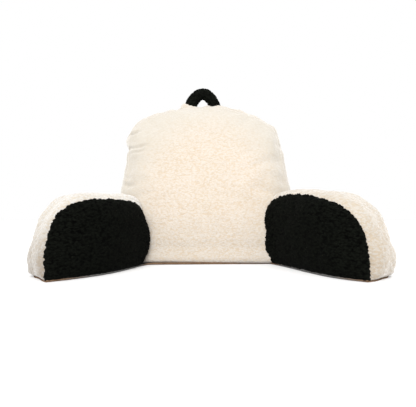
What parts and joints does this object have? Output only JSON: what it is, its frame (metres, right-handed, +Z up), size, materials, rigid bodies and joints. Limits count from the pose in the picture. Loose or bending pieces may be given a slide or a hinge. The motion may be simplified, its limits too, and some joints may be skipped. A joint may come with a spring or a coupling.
{
  "type": "reading pillow",
  "caption": "Stuffed reading pillow in curly pile: a tall rounded backrest, splayed arms with dark inner faces, a flat base and a carry loop on top.",
  "frame": {"origin": "middle of the bounding box in plan, on the surface that the pillow stands on", "axes": "+X to the left arm of a sitter, along the pillow's width; -Y the way the sitter faces; +Z up"},
  "size_m": [0.8139, 0.4805, 0.536],
  "materials": {
    "cream_pile": "matte curly pile",
    "black_pile": "matte curly pile",
    "base_cloth": "matte woven cloth"
  },
  "bodies": {
    "root": {"back_cushion": "cream_pile", "arm_cushion_left": "cream_pile", "arm_cushion_right": "cream_pile", "arm_facing_left": "black_pile", "arm_facing_right": "black_pile", "carry_loop": "black_pile", "base_panel": "base_cloth"}
  },
  "joints": []
}
